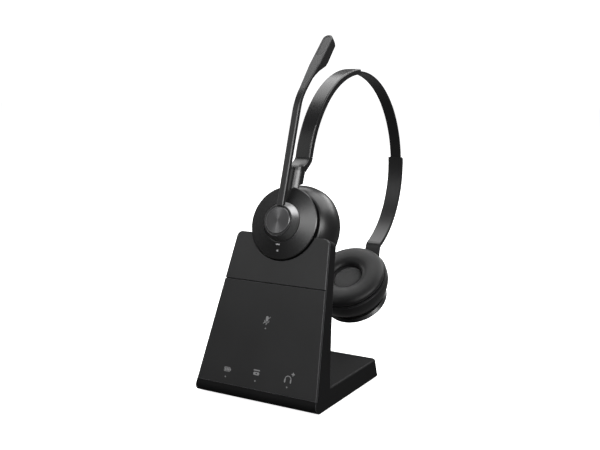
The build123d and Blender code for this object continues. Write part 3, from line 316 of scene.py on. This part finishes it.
# ---------------------------------------------------------------- the materials, by slot
# Edge factors of 9 and more, on the darkest plastics, paint a highlight along their edges; the small ones are
# wear.
PLASTICS = {
    "shell_black": dict(colour=(0.0046, 0.0046, 0.0048), rough=0.58, gloss=0.10, edge_wear_and_highlight=32.0, soft_edges=True),
    "fascia_black": dict(colour=(0.0140, 0.0141, 0.0145), rough=0.42, gloss=0.42, edge_wear_and_highlight=16.0, soft_edges=True),
    "panel_black": dict(
        colour=(0.0105, 0.0106, 0.0110), rough=0.38, gloss=0.38, edge_wear_and_highlight=14.0, soft_edges=True,
        grain_mm=0.5, depth_mm=0.006,
    ),
    "print_grey": dict(colour=(0.19, 0.19, 0.193), rough=0.6, gloss=0.3, edge_wear_and_highlight=1.0, grain_mm=0.2),
    "puck_black": dict(colour=(0.0052, 0.0052, 0.0054), rough=0.33, gloss=0.5, edge_wear_and_highlight=9.0, depth_mm=0.003),
    "boom_black": dict(
        colour=(0.0075, 0.0075, 0.0078), rough=0.36, gloss=0.50, edge_wear_and_highlight=9.0, soft_edges=True, depth_mm=0.003,
    ),
    "sleeve_black": dict(colour=(0.0075, 0.0075, 0.0078), rough=0.30, gloss=0.42, edge_wear_and_highlight=1.2, depth_mm=0.003),
    "liner_black": dict(colour=(0.0090, 0.0090, 0.0093), rough=0.34),
    "strip_steel": dict(colour=(0.0075, 0.0075, 0.0078), rough=0.34, gloss=0.4, edge_wear_and_highlight=2.2, grain_mm=0.6),
    "inner_plastic": dict(colour=(0.03, 0.03, 0.031), rough=0.55),
}
METALS = {
    "trim_bright": dict(colour=(0.16, 0.16, 0.163), rough=0.30),
    "contact_gold": dict(colour=(0.55, 0.40, 0.18), rough=0.35),
    "steel": dict(colour=(0.35, 0.35, 0.36), rough=0.35),
    "iron": dict(colour=(0.10, 0.10, 0.10), rough=0.6, grain_mm=1.2),
    "cell_foil": dict(colour=(0.55, 0.55, 0.57), rough=0.3),
}
TURNED = {
    "disc_black": dict(
        colour=(0.0040, 0.0040, 0.0042), rough=0.27, anisotropy=0.6, metallic=0.0, gloss=0.75, marks=0.06,
    ),
    "hub_grey": dict(colour=(0.24, 0.24, 0.242), rough=0.30, marks=0.6),
    "cap_dark": dict(colour=(0.10, 0.10, 0.102), rough=0.34, anisotropy=0.85, marks=0.8),
}
BOARD = dict(mask=(0.010, 0.055, 0.030), light_mask=(0.014, 0.070, 0.036), copper=(0.05, 0.14, 0.06))

MATERIALS = {
    "cushion_leather": leatherette("cushion_leather", (0.0050, 0.0050, 0.0052)),
    "ear_cloth": knit("ear_cloth", (0.018, 0.018, 0.0185)),
    "pad_rubber": rubber("pad_rubber", (0.012, 0.012, 0.012)),
    "board_green": board("board_green", **BOARD),
    "lens_smoke": smoked("lens_smoke", (0.30, 0.30, 0.31)),
}
for name, look in PLASTICS.items():
    MATERIALS[name] = plastic(name, **look)
for name, look in METALS.items():
    MATERIALS[name] = metal(name, **look)
for side, cup in (("", LEFT), ("right_", RIGHT)):       # turned parts of the right cup have their own axis
    for name, look in TURNED.items():
        MATERIALS[side + name] = spun(side + name, cup=cup, **look)

for node_name, node in NODES.items():
    slot_name = SLOT_OF[node_name]
    if node_name.startswith("right_") and "right_" + slot_name in MATERIALS:
        slot_name = "right_" + slot_name
    for index in range(len(node.material_slots)):
        node.material_slots[index].material = MATERIALS[slot_name]


# ---------------------------------------------------------------- mesh helpers
def mesh_piece(name, vertices, faces, cup, slot_name, uvs=None):
    """A new object from points in a cup's frame, in millimetres, with its slot's material."""
    mesh = bpy.data.meshes.new(name)
    mesh.from_pydata([cup @ (Vector(v) * MM) for v in vertices], [], faces)
    mesh.update()
    piece = bpy.data.objects.new(name, mesh)
    bpy.context.scene.collection.objects.link(piece)
    if uvs is not None:
        layer = mesh.uv_layers.new(name="flat_mm")
        for loop in mesh.loops:
            layer.data[loop.index].uv = uvs[loop.vertex_index]
    for polygon in mesh.polygons:
        polygon.use_smooth = True
    mesh.materials.append(MATERIALS[slot_name])
    return piece


def subdivide(piece, levels):
    """Adds a subdivision surface and applies it."""
    modifier = piece.modifiers.new("smooth", "SUBSURF")
    modifier.levels = levels
    modifier.render_levels = levels
    depsgraph = bpy.context.evaluated_depsgraph_get()
    done = bpy.data.meshes.new_from_object(piece.evaluated_get(depsgraph))
    piece.modifiers.clear()
    piece.data = done


# ---------------------------------------------------------------- ear cushions
# Levels are along the cup's axis, outwards, so the side towards the head is the more negative.
SEAM_LEVEL_MM = -25.85         # where the cushion's back lies on its ring
CROWN_LEVEL_MM = -31.95
HOLE_MM = 12.2                 # inner seam's radius
RIM_MM = 31.6                  # outer seam's radius
SIDE_ROUND = 0.78              # 1 is a round section, and less is a fuller one
CROWN_ROUND = 0.72
AROUND = 96
ACROSS = 15


def gather(turn, count, sway, swings):
    """Gathers round the cup, -1 to 1, unevenly spaced."""
    return sin(count * turn + sway * sin(swings * turn))


def fade(distance, reach):
    """1 at a seam, 0 from reach on, both as parts of the way across."""
    return max(0.0, 1 - distance / reach) ** 1.5


def cushion_point(turn, across):
    """A point of the leather at an angle round the cup, across 0..1 from inner to outer seam."""
    middle = (HOLE_MM + RIM_MM) / 2
    half = (RIM_MM - HOLE_MM) / 2
    angle = pi * across
    bulge = abs(cos(angle)) ** SIDE_ROUND * (1 if across < 0.5 else -1)
    crown = sin(angle) ** CROWN_ROUND
    # Fine gathers run across the leather from both seams and fade towards the crown.
    gathers = 0.10 * gather(turn, count=31, sway=0.9, swings=3) * fade(across, reach=0.42)
    gathers += 0.05 * gather(turn, count=43, sway=1.3, swings=4) * fade(1 - across, reach=0.30)
    # The crown also rises and sinks a little on its way round.
    slack = 0.10 * sin(2 * turn + 0.7) + 0.07 * sin(5 * turn + 2.1)
    radius = middle - (half - gathers) * bulge
    level = SEAM_LEVEL_MM + (CROWN_LEVEL_MM - SEAM_LEVEL_MM + slack + gathers) * crown
    return radius * cos(turn), radius * sin(turn), level


def ear_cushion(side, cup):
    """Crowned ring of foam under leatherette, closed at the back, for one cup."""
    points = []
    faces = []
    for step in range(AROUND):
        turn = tau * step / AROUND
        for place in range(ACROSS + 1):
            points.append(cushion_point(turn, place / ACROSS))
    stride = ACROSS + 1
    for step in range(AROUND):
        this = step * stride
        after = (step + 1) % AROUND * stride
        for place in range(ACROSS):
            faces.append((this + place, this + place + 1, after + place + 1, after + place))
        faces.append((this + ACROSS, this, after, after + ACROSS))
    piece = mesh_piece(f"{side}_ear_cushion", points, faces, cup, "cushion_leather")
    subdivide(piece, levels=1)
    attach(piece, f"{side}_puck")
    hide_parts(f"{side}_cushion")


# ---------------------------------------------------------------- speaker cloths
CLOTH_RADIUS_MM = 12.1
CLOTH_EDGE_MM = -25.0
CLOTH_DOME_MM = -26.2
CLOTH_THICK_MM = 1.6           # at the edge
RINGS = 12
SPOKES = 64


def cloth_level(part):
    """Level of the cloth at a part of the way out: a flat dome that turns down near its edge."""
    return CLOTH_EDGE_MM + (CLOTH_DOME_MM - CLOTH_EDGE_MM) * (1 - part**6) * (1 - 0.12 * part**2)


def speaker_cloth(side, cup):
    """Woven cloth over thin foam in the middle of a cushion, slightly domed towards the ear."""
    points = [(0, 0, CLOTH_DOME_MM)]
    for ring in range(1, RINGS + 1):
        radius = CLOTH_RADIUS_MM * ring / RINGS
        for spoke in range(SPOKES):
            turn = tau * spoke / SPOKES
            points.append((radius * cos(turn), radius * sin(turn), cloth_level(ring / RINGS)))
    rim = len(points) - SPOKES
    back = len(points)
    for x, y, _ in points[rim:]:
        points.append((x, y, CLOTH_EDGE_MM + CLOTH_THICK_MM))
    faces = []
    for spoke in range(SPOKES):
        after = (spoke + 1) % SPOKES
        faces.append((0, 1 + after, 1 + spoke))
        for ring in range(RINGS):
            inner = 1 + ring * SPOKES
            outer = inner + SPOKES
            faces.append((inner + spoke, inner + after, outer + after, outer + spoke))
    faces.append(tuple(back + spoke for spoke in range(SPOKES)))
    uvs = [(x, y) for x, y, _ in points]
    piece = mesh_piece(f"{side}_speaker_cloth", points, faces, cup, "ear_cloth", uvs)
    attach(piece, f"{side}_puck")
    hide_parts(f"{side}_ear_cloth")


for side, cup in (("left", LEFT), ("right", RIGHT)):
    ear_cushion(side, cup)
    speaker_cloth(side, cup)


# ---------------------------------------------------------------- studio
WHITE = (1.0, 1.0, 1.0)
WORLD_SEEN = 1.2               # how bright the background looks
WORLD_LIT = 0.16               # how bright it is as a source of light
FLOOR_HALF = 8.0
FLOOR_SEEN = 0.9               # grey of the floor as it is seen
FLOOR_GLOW = 0.86              # light it adds to that, so that it looks nearly white
FLOOR_LIT = 0.10               # grey of the floor as the object reflects it
MIDDLE = (0, 0.03, 0.14)       # of the object
SOFTBOXES = {
    "overhead": dict(place=(0.05, 0.60, 1.2), target=(0.05, 0.60, 0), size=(2.1, 1.1), watts=25),
    "front_left": dict(place=(-0.75, -1.15, 0.95), size=(1.2, 0.8), watts=2.6),
    "front": dict(place=(0.12, -1.25, 0.92), size=(0.7, 0.5), watts=5.5),
    "right": dict(place=(1.15, -0.75, 0.7), size=(1.1, 0.6), watts=18),
    "left": dict(place=(-1.5, 0.1, 0.6), size=(1.0, 0.8), watts=5),
    "back_right": dict(place=(0.4, 1.4, 0.95), size=(1.2, 0.5), watts=9),
}


def source(tree, kind, colour, strength=None):
    """Adds a shader of one plain colour to the floor's or the world's nodes, and gives its output."""
    node = tree.nodes.new(kind)
    node.inputs["Color"].default_value = (*colour, 1)
    if strength is not None:
        node.inputs["Strength"].default_value = strength
    return node.outputs[0]


def seen_or_lit(tree, seen, lit):
    """A shader that is one thing to look at and another as a source of light."""
    path = tree.nodes.new("ShaderNodeLightPath")
    either = tree.nodes.new("ShaderNodeMixShader")
    tree.links.new(path.outputs["Is Camera Ray"], either.inputs[0])
    tree.links.new(lit, either.inputs[1])
    tree.links.new(seen, either.inputs[2])
    return either.outputs[0]


def floor():
    """Plain pale ground, which reflects less into the object than it shows."""
    corners = [(-1, -1), (1, -1), (1, 1), (-1, 1)]
    mesh = bpy.data.meshes.new("floor")
    mesh.from_pydata([(x * FLOOR_HALF, y * FLOOR_HALF, 0) for x, y in corners], [], [(0, 1, 2, 3)])
    piece = bpy.data.objects.new("floor", mesh)
    bpy.context.scene.collection.objects.link(piece)
    material = bpy.data.materials.new("floor_pale")
    material.use_nodes = True
    tree = material.node_tree
    tree.nodes.remove(tree.nodes["Principled BSDF"])
    pale = source(tree, "ShaderNodeBsdfDiffuse", (FLOOR_SEEN,) * 3)
    glow = source(tree, "ShaderNodeEmission", WHITE, FLOOR_GLOW)
    dull = source(tree, "ShaderNodeBsdfDiffuse", (FLOOR_LIT,) * 3)
    both = tree.nodes.new("ShaderNodeAddShader")
    tree.links.new(pale, both.inputs[0])
    tree.links.new(glow, both.inputs[1])
    shader = seen_or_lit(tree, both.outputs[0], dull)
    tree.links.new(shader, tree.nodes["Material Output"].inputs["Surface"])
    mesh.materials.append(material)


def area_light(name, place, size, watts, target=MIDDLE):
    light = bpy.data.lights.new(name, "AREA")
    light.shape = "RECTANGLE"
    light.size, light.size_y = size
    light.energy = watts
    lamp = bpy.data.objects.new(name, light)
    lamp.location = place
    lamp.rotation_euler = (Vector(target) - Vector(place)).to_track_quat("-Z", "Y").to_euler()
    bpy.context.scene.collection.objects.link(lamp)


def studio():
    """White to look at, dim as a source, with a few wide softboxes."""
    world = bpy.data.worlds.new("studio")
    bpy.context.scene.world = world
    world.use_nodes = True
    tree = world.node_tree
    seen = source(tree, "ShaderNodeBackground", WHITE, WORLD_SEEN)
    lit = source(tree, "ShaderNodeBackground", WHITE, WORLD_LIT)
    tree.nodes.remove(tree.nodes["Background"])
    tree.links.new(seen_or_lit(tree, seen, lit), tree.nodes["World Output"].inputs["Surface"])
    for name, box in SOFTBOXES.items():
        area_light(name, **box)


# ---------------------------------------------------------------- camera
CAMERA_PLACE = (0.3170, -0.5314, 0.21905)
CAMERA_DOWN = 9.206            # degrees below level
CAMERA_LEFT = 30.226           # degrees that it is turned to the left of +Y
LENS_MM = 52.2
SENSOR_MM = 36.0


def camera():
    data = bpy.data.cameras.new("camera")
    data.lens = LENS_MM
    data.sensor_width = SENSOR_MM
    view = bpy.data.objects.new("camera", data)
    view.location = CAMERA_PLACE
    view.rotation_euler = (radians(90 - CAMERA_DOWN), 0, radians(CAMERA_LEFT))
    bpy.context.scene.collection.objects.link(view)
    bpy.context.scene.camera = view


floor()
studio()
camera()
bpy.context.scene.view_settings.view_transform = "Standard"

bpy.context.view_layer.update()
